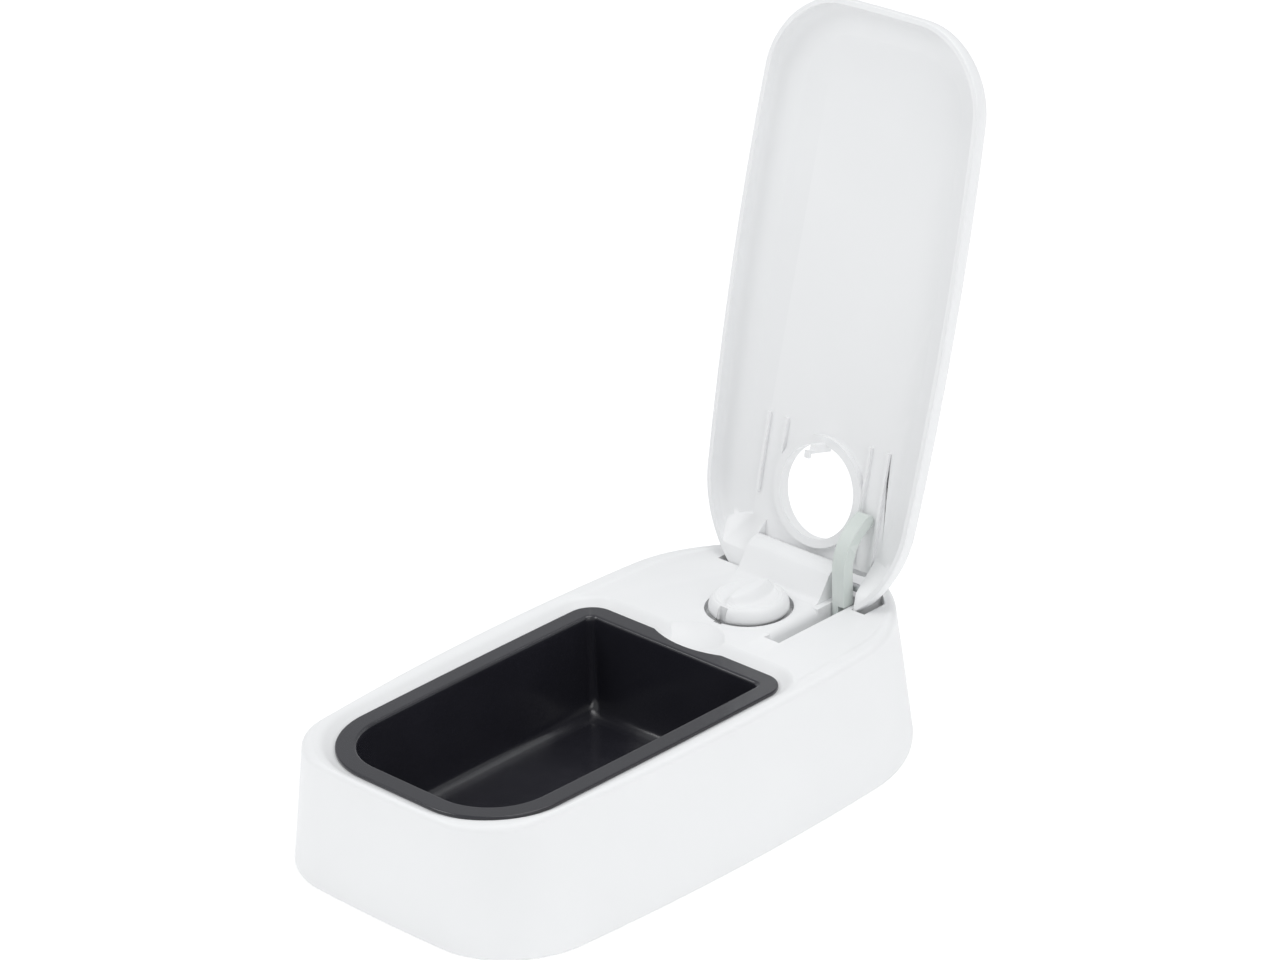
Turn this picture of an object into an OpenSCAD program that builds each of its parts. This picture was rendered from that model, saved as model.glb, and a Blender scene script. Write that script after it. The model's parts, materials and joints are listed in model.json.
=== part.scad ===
// Automatic pet feeder with one bowl, a spring-opened lid and a battery timer knob.
// Millimetres. +Z is up, -Y is the bowl end, +Y is the hinge end, +X is the right side.
// The origin is the middle of the footprint, on the flat underside.
// The lid is drawn open, as it stands after a meal has been released.

/* [Base] */
// Length of the base at the floor
base_length = 240; // [236:1:246]
// Greatest width of the base, near the floor
base_width = 136; // [134:1:139]
// Height of the rim above the floor
rim_height = 47.4; // [47:0.1:48]
// Wall thickness of the housing
wall = 2.4; // [2:0.1:2.8]
// How far the long walls lean in towards the top
side_lean = 9.2; // [8.6:0.1:9.4]
// How far the end walls lean in towards the top
end_lean = 3; // [2.6:0.1:3.4]

/* [Lid] */
// Angle by which the lid stands open from its closed place
open_angle = 104.5; // [100:0.5:106]
// Greatest width of the lid
lid_width = 104.4; // [103:0.2:105]
// Depth of the lid from its skirt to its top
lid_depth = 10; // [9.6:0.2:10.6]
// Thickness of the lid shell
lid_wall = 2; // [1.6:0.1:2.2]
// Radius of the lid's opening for the timer knob
lid_hole_r = 17.2; // [17:0.1:17.5]

/* [Bowl] */
// Length of the bowl over its flange
bowl_length = 142.5; // [140:0.5:143]
// Width of the bowl over its flange, at the front
bowl_width = 94; // [92:0.5:95]
// Height of the bowl from its underside to the top of its flange
bowl_height = 37.8; // [30:0.2:38.6]
// Width of the bowl's flange
flange_width = 7; // [6:0.5:8]

/* [Timer] */
// Radius of the knob's upper body
knob_r = 14.5; // [14:0.1:14.6]
// Module of the teeth on the knob's wheel
wheel_module = 0.8; // [0.7:0.05:0.8]

/* [Hidden] */

// ---- Levels and places shared by several parts ----
deck_z = rim_height - 0.5;
edge_r = 2.4;
top_thickness = 2.4;
cavity_top = deck_z - top_thickness;
base_hl = base_length / 2;
side_bow = 7.5;
end_bow = 2.4;
base_hw_front = base_width / 2 - side_bow + 0.1;
base_hw_rear = base_width / 2 - side_bow + 0.2;
front_r = 30;
rear_r = base_hw_rear - 0.5;
top_corner_loss = 9;

hinge_y = 92.5;
hinge_z = deck_z + 5.3;
hinge_r = 1.5;
knuckle_r = 6;
knuckle_left = -22;
knuckle_right = 17.5;
skirt_drop = 4.2;

lid_tip = -202.6;
lid_tail = 17.8;
lid_bow = 4.9;
lid_hw_tip = lid_width / 2 - lid_bow;
lid_hw_tail = lid_hw_tip - 2.2;
lid_tip_r = 29;
lid_tail_r = 44;
lid_gap = 0.9;
bay_right = 29.7;
lid_floor = lid_depth - lid_wall - skirt_drop;

knob_y = 64.5;
well_r = 16;
well_z = deck_z - 3.4;
hole_y = knob_y - hinge_y;

lever_left = 21;
lever_right = 26.6;
pivot_y = 88.7;
pivot_z = deck_z - 4.6;
pivot_r = 1.2;
channel_left = 20.2;
channel_right = 27.3;
channel_front = 50.4;
channel_rear = 94.6;
channel_floor = 36;
channel_bend = [70.9, deck_z + 10.9];
channel_bend_r = 23.2;
ear_reach = 35.4;

bowl_rear = 33.1;
bowl_front = bowl_rear - bowl_length;
flange_top = deck_z - 1.7;
flange_t = 1.4;
seat_z = flange_top - flange_t - 0.05;
bowl_hw_front = bowl_width / 2;
bowl_hw_rear = bowl_hw_front + 1.2;

plate_top = 2.4;
boss_places = [[-52, -62], [52, -62], [-53.5, 8], [53.5, 8], [-40, 74], [43, 74]];
pad_places = [[-44, -92], [44, -92], [-37, 88], [37, 88]];
pad_t = 0.8;

battery_y = 97.5;
battery_z = 13;
battery_r = 7.1;
battery_hl = 25;

case_left = -31;
case_right = 24;
case_front = 38.4;
case_rear = 89.5;
case_z = 16;
case_split = 28.6;
cover_top = 31;
case_wall = 1.6;

wheel_teeth = 36;
pinion_teeth = 12;
middle_dir = 225;
middle_reach = wheel_module * (wheel_teeth + pinion_teeth) / 2;
middle_place = [0, knob_y] + middle_reach * [cos(middle_dir), sin(middle_dir)];
middle_teeth = 32;
fine_module = 0.6;
second_dir = 120;
second_reach = fine_module * (middle_teeth + pinion_teeth) / 2;
second_place = middle_place + second_reach * [cos(second_dir), sin(second_dir)];
second_teeth = 30;
rotor_teeth = 10;
rotor_module = 0.5;
rotor_dir = 90;
rotor_place = second_place + [0, rotor_module * (second_teeth + rotor_teeth) / 2];
bearing_gap = 0.05;
coil_y = 84.3;

// ---- Outlines ----
// Points of a quarter round from angle a0, in m steps
function arc(cx, cy, r, a0, m) =
    [for (i = [0:m]) let (a = a0 + 90 * i / m) [cx + r * cos(a), cy + r * sin(a)]];

// Points strictly between p and q
function between(p, q, k) = [for (i = [1:k - 1]) p + (q - p) * i / k];

// Pushes the middle of each side outwards
function bowed(p, hw, hl, sb, eb) =
    [p.x * (1 + sb / hw * (1 - pow(p.y / hl, 2))), p.y * (1 + eb / hl * (1 - pow(p.x / hw, 2)))];

// Rounded trapezium with bowed sides, anticlockwise; f is the -Y end and r is the +Y end
function outline(hl, wf, wr, rf, rr, sb, eb, m = 8) =
    let (a = arc(wr - rr, hl - rr, rr, 0, m),
         b = arc(rr - wr, hl - rr, rr, 90, m),
         c = arc(rf - wf, rf - hl, rf, 180, m),
         d = arc(wf - rf, rf - hl, rf, 270, m),
         raw = concat(a, between(a[m], b[0], 3), b, between(b[m], c[0], 8),
                      c, between(c[m], d[0], 4), d, between(d[m], a[0], 8)))
    [for (p = raw) bowed(p, max(wf, wr), hl, sb, eb)];

// Outline of the base, moved in by si at the sides, ei at the ends and dr at the corner radii
function base_ring(si, ei, dr) =
    outline(base_hl - end_bow - ei, base_hw_front - si, base_hw_rear - si,
            front_r - dr, rear_r - dr, side_bow, end_bow);

// Outline of the lid seen from above when closed, moved in by t
lid_mid = (lid_tip + lid_tail) / 2;
lid_hl = (lid_tail - lid_tip) / 2;
function lid_ring(t) =
    [for (p = outline(lid_hl - t, lid_hw_tip - t, lid_hw_tail - t, lid_tip_r - t, lid_tail_r - t, lid_bow, 1.2))
        p + [0, lid_mid]];

// Outline of the bowl's flange, moved in by t
bowl_mid = (bowl_front + bowl_rear) / 2;
function bowl_ring(t) =
    [for (p = outline(bowl_length / 2 - t, bowl_hw_front - t, bowl_hw_rear - t,
                      max(30 - t, 8), max(9.5 - t, 3), 0.6, 0))
        p + [0, bowl_mid]];

// Solid through rings of equal point count at the heights zs
module loft(rings, zs) {
    n = len(rings[0]);
    m = len(rings);
    points = [for (j = [0:m - 1]) for (p = rings[j]) [p.x, p.y, zs[j]]];
    sides = [for (j = [0:m - 2]) for (i = [0:n - 1]) for (k = [0:1])
        let (q = (i + 1) % n)
        k == 0 ? [j * n + i, (j + 1) * n + i, (j + 1) * n + q] : [j * n + i, (j + 1) * n + q, j * n + q]];
    polyhedron(points, concat([[for (i = [0:n - 1]) i]], sides, [[for (i = [0:n - 1]) m * n - 1 - i]]));
}

// Round tube of radius r along a list of points
module tube(path, r, sides = 8) {
    n = len(path);
    dirs = [for (i = [0:n - 1]) let (d = path[min(i + 1, n - 1)] - path[max(i - 1, 0)]) d / norm(d)];
    ups = [for (d = dirs) let (u = cross(d, abs(d.x) > 0.9 ? [0, 0, 1] : [1, 0, 0])) u / norm(u)];
    points = [for (i = [0:n - 1]) for (k = [0:sides - 1])
        path[i] + r * (cos(360 * k / sides) * ups[i] + sin(360 * k / sides) * cross(dirs[i], ups[i]))];
    skin = [for (i = [0:n - 2]) for (k = [0:sides - 1]) let (q = (k + 1) % sides)
        [i * sides + k, (i + 1) * sides + k, (i + 1) * sides + q, i * sides + q]];
    polyhedron(points, concat([[for (k = [0:sides - 1]) k]], skin,
                              [[for (k = [0:sides - 1]) n * sides - 1 - k]]));
}

// Cylinder along X from x0 to x1 with its axis at y, z
module rod_x(x0, x1, y, z, r, fn = 48) {
    translate([x0, y, z]) rotate([0, 90, 0]) cylinder(h = x1 - x0, r = r, $fn = fn);
}

// Upright cylinder from z0 to z1
module post(p, z0, z1, r, fn = 48) {
    translate([p.x, p.y, z0]) cylinder(h = z1 - z0, r = r, $fn = fn);
}

// Box between two corners
module block(a, b) {
    translate(a) cube(b - a);
}

// Puts a shape drawn on the Y-Z plane between x0 and x1
module slab_x(x0, x1) {
    translate([x0, 0, 0]) rotate([90, 0, 90]) linear_extrude(x1 - x0) children();
}

// Puts the closed lid's own frame, whose origin is on the hinge axis, at the open place
module at_lid() {
    translate([0, hinge_y, hinge_z]) rotate([-open_angle, 0, 0]) children();
}

// Half the angle that a tooth takes up at radius r, for 20 degree flanks and a little backlash
function roll(r, rb) = let (a = acos(min(1, rb / r))) tan(a) - a * PI / 180;
function half_tooth(n, m, r) =
    let (rb = m * n / 2 * cos(20)) (PI / (2 * n) + roll(m * n / 2, rb) - roll(max(r, rb), rb)) * 180 / PI
    - 0.06 / (m * n / 2) * 180 / PI;

// Outline of a spur wheel with n teeth; the first tooth points along +X before it is turned
function gear_points(n, m, turn) =
    let (rp = m * n / 2, ra = rp + 0.75 * m, rf = rp - 1.1 * m, rb = max(rf + 0.01, rp * cos(20)))
    [for (i = [0:n - 1]) for (q = [[rf, -1], [rb, -1], [ra, -1], [ra, 1], [rb, 1], [rf, 1]])
        let (a = turn + 360 * i / n + q[1] * half_tooth(n, m, q[0])) q[0] * [cos(a), sin(a)]];

// Turn of a wheel with n2 teeth so that it meshes with one of n1 teeth that lies back along dir
function mesh_turn(n1, turn1, dir, n2) =
    let (along = (dir - turn1) * n1 / 360) dir + 180 - (0.5 - along) * 360 / n2;

module gear(p, z0, z1, n, m, turn = 0) {
    translate([p.x, p.y, z0]) linear_extrude(z1 - z0) polygon(gear_points(n, m, turn));
}

// ---- Base ----
wall_levels = [0, 0.1, 0.35, 0.6, 0.85, 1];
edge_angles = [15, 30, 45, 60, 75, 90];

// Outside of the base, with leaning walls, a soft bottom edge and a round top edge
module base_outside() {
    z0 = 0.8;
    z1 = rim_height - edge_r;
    rings = concat([base_ring(0.8, 0.8, 0.8)],
        [for (f = wall_levels) base_ring(f * side_lean, f * end_lean, f * top_corner_loss)],
        [for (a = edge_angles) let (t = edge_r * (1 - cos(a)))
            base_ring(side_lean + t, end_lean + t, top_corner_loss + t)]);
    zs = concat([0], [for (f = wall_levels) z0 + f * (z1 - z0)],
        [for (a = edge_angles) z1 + edge_r * sin(a)]);
    loft(rings, zs);
}

// Hollow of the housing, open at the bottom
module base_hollow() {
    levels = [0, 0.5, 1];
    rings = [for (f = levels) base_ring(f * side_lean + wall, f * end_lean + wall, f * top_corner_loss + wall)];
    loft(rings, [for (f = levels) -0.5 + f * (cavity_top + 0.5)]);
}

// Space that the lid's two tail ears swing through
module ear_space(grow, r, front) {
    intersection() {
        translate([0, hinge_y, 24]) linear_extrude(40) polygon(lid_ring(-grow));
        rod_x(-60, 60, hinge_y, hinge_z, r, 96);
        slab_x(-60, 60) polygon([[front, deck_z], [front - 4, deck_z - 15.3], [130, deck_z - 15.3],
                                 [130, rim_height + 9], [front, rim_height + 9]]);
    }
}

module ear_pockets() {
    intersection() {
        ear_space(1.2, 19.4, 86.2);
        union() {
            block([-ear_reach, 70, 20], [knuckle_left - 0.3, 130, 70]);
            block([bay_right - 0.5, 70, 20], [ear_reach, 130, 70]);
        }
    }
}

module ear_pocket_walls() {
    intersection() {
        ear_space(3.2, 21.6, 83.6);
        union() {
            block([-ear_reach - 2, 70, 20], [knuckle_left + 2, 130, cavity_top + 0.5]);
            block([channel_right - 0.2, 70, 20], [ear_reach + 2, 130, cavity_top + 0.5]);
        }
    }
}

// Side of the hinge knuckle: a round top, and a ramp down to the deck with a hollow foot
module knuckle_side() {
    ramp = 145;
    foot_r = 4;
    top = [hinge_y + knuckle_r * cos(ramp), hinge_z + knuckle_r * sin(ramp)];
    // where the ramp's straight line would meet the deck
    corner_y = top.x - (top.y - deck_z) / tan(ramp - 90);
    foot_y = corner_y - foot_r * tan((ramp - 90) / 2);
    translate([hinge_y, hinge_z]) circle(r = knuckle_r, $fn = 64);
    polygon(concat([[hinge_y, hinge_z], top],
        [for (a = [ramp - 180:-11:-90]) [foot_y + foot_r * cos(a), deck_z + foot_r + foot_r * sin(a)]],
        [[foot_y, deck_z - 1], [hinge_y + knuckle_r, deck_z - 1], [hinge_y + knuckle_r, hinge_z]]));
}

module knuckle() {
    slab_x(knuckle_left, knuckle_right) knuckle_side();
}

module channel_tub() {
    block([channel_left - 2.6, channel_front - 2, channel_floor - 2],
          [channel_right + 1.9, channel_rear + 1.8, cavity_top + 0.5]);
}

// Channel of the folded lever; its floor curves up at the front, round the lever's bend
module channel_cut() {
    slab_x(channel_left, channel_right) intersection() {
        translate([channel_front, channel_floor])
            square([channel_rear - channel_front, rim_height + 9 - channel_floor]);
        union() {
            translate(channel_bend) circle(r = channel_bend_r, $fn = 160);
            translate([channel_bend.x, channel_floor - 1]) square([30, 40]);
        }
    }
    // the left side is eased down towards the lever
    translate([0, channel_front + 3, 0]) rotate([-90, 0, 0]) linear_extrude(25)
        polygon([[channel_left - 3.2, -deck_z - 1], [channel_left + 1, -deck_z - 1],
                 [channel_left + 1, -deck_z + 3], [channel_left, -deck_z + 3], [channel_left - 3.2, -deck_z]]);
}

// Hollow over the bowl's flange, whose sides rise softly from the flange's foot to the deck
bowl_rise = [[0, 0.35], [0.2, 0.9], [0.8, 2], [1.7, 3.1], [2.5, 4.1], [3.15, 5.4], [3.7, 7.5]];
module bowl_seat() {
    levels = concat(bowl_rise, [[8, 9]]);
    loft([for (q = levels) bowl_ring(-q[1])], [for (q = levels) seat_z + q[0]]);
}

// Seat of the closed lid, with a soft step up to the rim
module lid_seat() {
    loft([for (t = [0, 2.5, 4]) lid_ring(-lid_gap - t)], [deck_z, rim_height + 0.1, rim_height + 20]);
}

module base_housing() {
    color("white") difference() {
        union() {
            difference() {
                base_outside();
                base_hollow();
            }
            difference() {
                union() {
                    post([0, knob_y], well_z - 2.4, cavity_top + 0.5, well_r + 2.2);
                    post([0, bowl_rear + 2], deck_z - 8, cavity_top + 0.5, 19);
                    channel_tub();
                    ear_pocket_walls();
                    intersection() {
                        base_outside();
                        union() {
                            translate([0, 0, deck_z - 6]) linear_extrude(4) polygon(bowl_ring(-4.5));
                            for (p = boss_places) post(p, plate_top, cavity_top + 0.5, 3.6, 32);
                        }
                    }
                }
                for (p = boss_places) post(p, plate_top - 1, plate_top + 12, 1.25, 32);
            }
            knuckle();
        }
        difference() {
            translate([0, hinge_y, 0]) lid_seat();
            translate([0, 0, -0.01]) knuckle();
        }
        bowl_seat();
        // opening for the bowl
        translate([0, 0, deck_z - 12]) linear_extrude(20) polygon(bowl_ring(flange_width - 1.6));
        // finger scoop behind the bowl
        translate([0, bowl_rear - 2.1, deck_z + 18.1]) sphere(r = 23.2, $fn = 96);
        // well for the knob, with the spindle's bearing
        post([0, knob_y], well_z, rim_height + 9, well_r, 96);
        // room for the lid's hook beside the knob
        block([-1.8, knob_y - well_r - 0.8, well_z], [1.8, knob_y - well_r + 2, rim_height + 9]);
        post([0, knob_y], well_z - 9, well_z + 1, 3 + bearing_gap);
        channel_cut();
        ear_pockets();
        rod_x(knuckle_left - 1, knuckle_right + 1, hinge_y, hinge_z, hinge_r + 0.02);
        rod_x(channel_left - 3, channel_right + 4, pivot_y, pivot_z, pivot_r + 0.02);
    }
}

module base_plate() {
    color("gainsboro") difference() {
        union() {
            linear_extrude(plate_top) polygon(base_ring(wall + 1, wall + 0.7, wall + 0.9));
            // posts for the movement
            for (x = [case_left - 3.5, case_right + 3.5]) post([x, knob_y], plate_top - 0.5, case_z, 3.4, 32);
            // battery box
            difference() {
                block([-29.6, battery_y - 8.9, plate_top - 0.5], [29.6, battery_y + 8.4, case_z - 0.2]);
                block([-28, battery_y - 7.5, 0], [28, battery_y + 7.4, case_z + 1]);
            }
        }
        // battery opening, with the door's seat and grooves below it
        block([-26.5, battery_y - 7.5, -1], [26.5, battery_y + 7.4, plate_top + 1]);
        block([-27.8, battery_y - 18.5, -1], [27.8, battery_y + 8.6, 1.3]);
        block([-29.3, battery_y - 18.5, 0.5], [29.3, battery_y + 8.6, 1.3]);
        for (p = boss_places) {
            post(p, -1, plate_top + 1, 1.7, 32);
            post(p, -1, 1.3, 3.2, 32);
        }
        for (p = pad_places) post(p, -1, pad_t, 6.6);
        for (x = [case_left - 3.5, case_right + 3.5]) post([x, knob_y], case_z - 9, case_z + 1, 0.95, 24);
    }
}

// Pads that lie flush in the underside
module rubber_pads() {
    color("dimgray") for (p = pad_places) post(p, 0, pad_t - 0.05, 6.5);
}

// Pan-head screw with its head at the bottom, at z
module screw_up(p, z, head_r, head_h, r, length) {
    difference() {
        union() {
            post(p, z, z + head_h, head_r, 32);
            post(p, z + head_h - 0.1, z + head_h + length, r, 32);
        }
        for (a = [0, 90]) translate([p.x, p.y, z]) rotate([0, 0, a])
            cube([head_r * 1.1, 0.6, head_h], center = true);
    }
}

module base_screws() {
    color("silver") for (p = boss_places) screw_up(p, 0.15, 2.9, 1.1, 1.2, 12);
}

// ---- Bowl ----
// Height fraction and inset of the bowl's inner wall, from the floor up
bowl_profile = [[0, 10], [0.03, 6.6], [0.1, 4.4], [0.3, 2.8], [0.65, 1.6], [1, 0.5]];
bowl_wall = 1.6;

module bowl_solid(lift, inset, over) {
    rise = bowl_height - lift;
    loft([for (q = bowl_profile) bowl_ring(flange_width + q[1] + inset)],
         [for (q = bowl_profile) flange_top - rise + q[0] * (rise + over)]);
}

module bowl() {
    color("#232427") difference() {
        union() {
            translate([0, 0, flange_top - flange_t]) linear_extrude(flange_t) polygon(bowl_ring(0));
            bowl_solid(0, -bowl_wall, -0.5);
        }
        bowl_solid(bowl_wall, 0, 0.5);
        // the rear of the flange is narrowed for a finger
        translate([0, bowl_rear + 36.2, flange_top - 3]) cylinder(h = 6, r = 40, $fn = 180);
    }
}

// ---- Lid and its hinge ----
lid_outer = [[-4.2, 0.6], [-3.7, 0.15], [-1.2, 0], [1, 0.6], [2.8, 1.9], [4.2, 4], [5.2, 7.4], [5.8, 13.5]];
lid_inner = [[-4.4, 2.1], [-1, 2.3], [0.6, 3], [2, 4.8], [3, 7.8], [3.8, 13.5]];

// Height in the closed lid's frame, stretched so that the top follows lid_depth
function lid_z(z) = -skirt_drop + (z + 4.2) * lid_depth / 10;

module lid_solid() {
    loft([for (q = lid_outer) lid_ring(q[1])], [for (q = lid_outer) lid_z(q[0])]);
}

module lid_hollow() {
    levels = [for (q = lid_inner) [q[0], q[1] + lid_wall - 2]];
    loft([for (q = levels) lid_ring(q[1])],
         [for (q = levels) q[0] > 3.7 ? lid_floor : min(lid_z(q[0]), lid_floor - 0.5)]);
}

// Two rails on each side of the opening; the lever's nose runs between the right-hand pair
module lid_rails() {
    for (x = [-28.5, -20, 20, 28.5]) {
        near = x > 0 ? -7.5 : -20;
        block([x - 0.6, -50, lid_floor - 1.2], [x + 0.6, near, lid_floor + 0.5]);
    }
}

// Hook that the knob's cap holds down until its notch comes round
module lid_hook() {
    toe_z = cap_z - 0.3 - hinge_z;
    r_in = 13.3;
    half = 1.1;
    block([-half, hole_y - lid_hole_r - 0.8, deck_z + 0.8 - hinge_z], [half, hole_y - 14.9, lid_floor + 0.8]);
    block([-half, hole_y - well_r, toe_z - 1.3], [half, hole_y - 14.9, deck_z + 0.9 - hinge_z]);
    block([-half, hole_y - 14.95, toe_z - 1.3], [half, hole_y - r_in, toe_z]);
}

module lid() {
    collar_r = 20.4;
    color("white") at_lid() difference() {
        union() {
            difference() {
                lid_solid();
                lid_hollow();
            }
            lid_rails();
            post([0, hole_y], lid_floor - 2.4, lid_floor + 0.5, collar_r, 96);
            // solid ears on both sides of the knuckle and the lever
            intersection() {
                lid_solid();
                slab_x(-60, 60) polygon([[-11, lid_floor], [0.5, -skirt_drop], [20, -skirt_drop],
                                         [20, lid_depth], [-11, lid_depth]]);
                union() {
                    block([-60, -20, -10], [knuckle_left - 0.6, 20, 10]);
                    block([bay_right, -20, -10], [60, 20, 10]);
                }
            }
        }
        // room for the knuckle and the lever between the ears
        rod_x(knuckle_left - 0.6, bay_right, 0, 0, knuckle_r + 0.35, 96);
        block([knuckle_left - 0.6, 0, -10], [bay_right, 30, 10]);
        post([0, hole_y], -8, 12, lid_hole_r, 128);
        rod_x(knuckle_left - 11.2, bay_right + 3.5, 0, 0, hinge_r + bearing_gap);
    }
    color("white") at_lid() lid_hook();
}

module hinge_pin() {
    color("silver") rod_x(knuckle_left - 10.8, bay_right + 3.1, hinge_y, hinge_z, hinge_r);
}

// ---- Opening lever ----
lever_bend_y = 105.4;
lever_bend_z = deck_z + 12.1;
lever_bend_r = 17.6;
lever_half = 2.4;
lever_end_angle = 110;

// Arm seen from the side, above height z0
module lever_arm_shape(z0) {
    end_dir = [cos(lever_end_angle), sin(lever_end_angle)];
    translate([lever_bend_y - lever_bend_r - lever_half, z0])
        square([2 * lever_half, lever_bend_z - z0]);
    translate([lever_bend_y, lever_bend_z]) {
        intersection() {
            difference() {
                circle(r = lever_bend_r + lever_half, $fn = 128);
                circle(r = lever_bend_r - lever_half, $fn = 128);
            }
            polygon([[0, 0], [-40, 0], [-40, 40], 40 * end_dir]);
        }
        translate(lever_bend_r * end_dir) circle(r = lever_half, $fn = 48);
    }
}

module lever_arm() {
    color("#c9d3cf") difference() {
        union() {
            slab_x(lever_left, lever_right) lever_arm_shape(pivot_z + 4.4);
            slab_x(lever_left, lever_left + 2.6) {
                lever_arm_shape(pivot_z);
                translate([pivot_y, pivot_z]) circle(r = 3.4, $fn = 48);
            }
        }
        rod_x(lever_left - 1, lever_right + 1, pivot_y, pivot_z, pivot_r + bearing_gap);
    }
}

module lever_pin() {
    color("silver") rod_x(channel_left - 1.8, channel_right + 1.6, pivot_y, pivot_z, pivot_r);
}

// Torsion spring beside the lever's hub
module lever_spring() {
    coil_r = 2.9;
    wire_r = 0.4;
    x0 = lever_left + 3.2;
    turns = 2.5;
    steps = 40;
    coil = [for (i = [0:steps]) let (a = 180 + 360 * turns * i / steps)
        [x0 + 1.05 * turns * i / steps, pivot_y + coil_r * cos(a), pivot_z + coil_r * sin(a)]];
    first = coil[0];
    last = coil[steps];
    path = concat([[x0, first.y - 0.3, first.z - 4.2], [x0, first.y, first.z - 0.6]], coil,
                  [[last.x, last.y, last.z + 0.8], [last.x, last.y, last.z + 4.6]]);
    color("gray") tube(path, wire_r);
}

// ---- Timer knob ----
cap_z = deck_z - 0.3;
cap_top = deck_z + 5;
grip_top = deck_z + 7.7;
shoulder = 3.2;
cap_drop = 4.2;
neck_r = 12.7;
spindle_r = 3;

module timer_knob() {
    color("white") translate([0, knob_y, 0]) difference() {
        union() {
            rotate_extrude($fn = 128) polygon(concat(
                [[0, well_z + 1], [neck_r, well_z + 1], [neck_r, cap_z], [knob_r, cap_z]],
                [for (a = [0:15:90]) [knob_r - shoulder * (1 - cos(a)), cap_top - cap_drop * (1 - sin(a))]],
                [[0, cap_top]]));
            // finger grip, a lens seen from above
            translate([0, 0, cap_top - 1]) intersection() {
                grip_side(-1);
                grip_side(1);
            }
        }
        // notch that lets the lid's hook pass
        block([-1.8, -knob_r - 1, cap_z - 1], [1.8, -neck_r, cap_top + 1]);
        // socket on the spindle
        translate([0, 0, well_z]) cylinder(h = 4.5, r = spindle_r + 0.02, $fn = 48);
    }
}

// Half of the grip's lens: a cylinder whose axis is off to one side
module grip_side(side) {
    half_len = 12.6;
    half_wid = 4.6;
    r = (half_len * half_len + half_wid * half_wid) / (2 * half_wid);
    translate([side * (r - half_wid), 0, 0]) cylinder(h = grip_top - cap_top + 1, r = r, $fn = 128);
}

module knob_spindle() {
    color("ivory") {
        post([0, knob_y], case_z + 1.7, well_z + 4.3, spindle_r);
    }
}

module spindle_clip() {
    color("silver") difference() {
        post([0, knob_y], well_z - 4, well_z - 3.2, 5.2);
        post([0, knob_y], well_z - 5, well_z - 2, spindle_r + 0.02);
        block([-1.2, knob_y - 7, well_z - 5], [1.2, knob_y, well_z - 2]);
    }
}

module knob_wheel() {
    color("ivory") difference() {
        union() {
            gear([0, knob_y], 24.6, 26.4, wheel_teeth, wheel_module);
            post([0, knob_y], 23.8, 27.6, 5);
        }
        post([0, knob_y], 20, 30, spindle_r + 0.02);
    }
}

// ---- Movement ----
module movement_case() {
    color("#3c4046") difference() {
        union() {
            block([case_left, case_front, case_z], [case_right, case_rear, case_split]);
            // lugs for the movement's screws
            for (x = [case_left - 3.5, case_right + 3.5]) post([x, knob_y], case_z, case_z + 2.2, 3.4, 32);
            block([case_left - 3.5, knob_y - 3.4, case_z], [case_right + 3.5, knob_y + 3.4, case_z + 2.2]);
        }
        block([case_left + case_wall, case_front + case_wall, case_z + case_wall],
              [case_right - case_wall, case_rear - case_wall, case_split + 1]);
        for (x = [case_left - 3.5, case_right + 3.5]) post([x, knob_y], case_z - 1, case_z + 3, 1.4, 32);
    }
    // bearings of the arbors
    color("#3c4046") {
        bearing(middle_place, 0.9, 2.2);
        bearing(second_place, 0.7, 1.6);
        bearing(rotor_place, 0.6, 1.4);
    }
}

module bearing(p, r, h) {
    difference() {
        post(p, case_z + case_wall - 0.2, case_z + case_wall + h, 2.2, 32);
        post(p, case_z + case_wall, case_z + case_wall + h + 1, r + bearing_gap, 32);
    }
}

module movement_cover() {
    color("#4a4e55") difference() {
        union() {
            block([case_left, case_front, case_split], [case_right, case_rear, cover_top]);
            post([0, knob_y], cover_top - 0.1, cover_top + 2, 6);
        }
        block([case_left + case_wall, case_front + case_wall, case_split - 1],
              [case_right - case_wall, case_rear - case_wall, cover_top - case_wall]);
        post([0, knob_y], case_split, cover_top + 3, spindle_r + bearing_gap);
    }
}

module movement_screws() {
    color("silver") for (x = [case_left - 3.5, case_right + 3.5]) difference() {
        union() {
            post([x, knob_y], case_z + 2.2, case_z + 3.6, 2.2, 32);
            post([x, knob_y], case_z - 6, case_z + 2.3, 0.9, 32);
        }
        block([x - 3, knob_y - 0.3, case_z + 3], [x + 3, knob_y + 0.3, case_z + 4]);
    }
}

arbor_z0 = case_z + case_wall + 0.3;
arbor_z1 = cover_top - case_wall - 0.1;

module middle_wheel() {
    color("ivory") {
        gear(middle_place, 24, 27, pinion_teeth, wheel_module,
             mesh_turn(wheel_teeth, 0, middle_dir, pinion_teeth));
        gear(middle_place, 21.4, 22.4, middle_teeth, fine_module);
        post(middle_place, 22.3, 24.1, 2);
        post(middle_place, arbor_z0, arbor_z1, 0.9, 32);
    }
}

module second_wheel() {
    color("ivory") {
        gear(second_place, 20.9, 22.9, pinion_teeth, fine_module,
             mesh_turn(middle_teeth, 0, second_dir, pinion_teeth));
        gear(second_place, 19.4, 20.3, second_teeth, rotor_module);
        post(second_place, 20.2, 21, 2);
        post(second_place, arbor_z0, arbor_z1, 0.7, 32);
    }
}

module rotor() {
    color("dimgray") {
        gear(rotor_place, 19.1, 20.7, rotor_teeth, rotor_module,
             mesh_turn(second_teeth, 0, rotor_dir, rotor_teeth));
        post(rotor_place, 21.6, 24.8, 3);
        post(rotor_place, arbor_z0, arbor_z1, 0.6, 32);
    }
}

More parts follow.
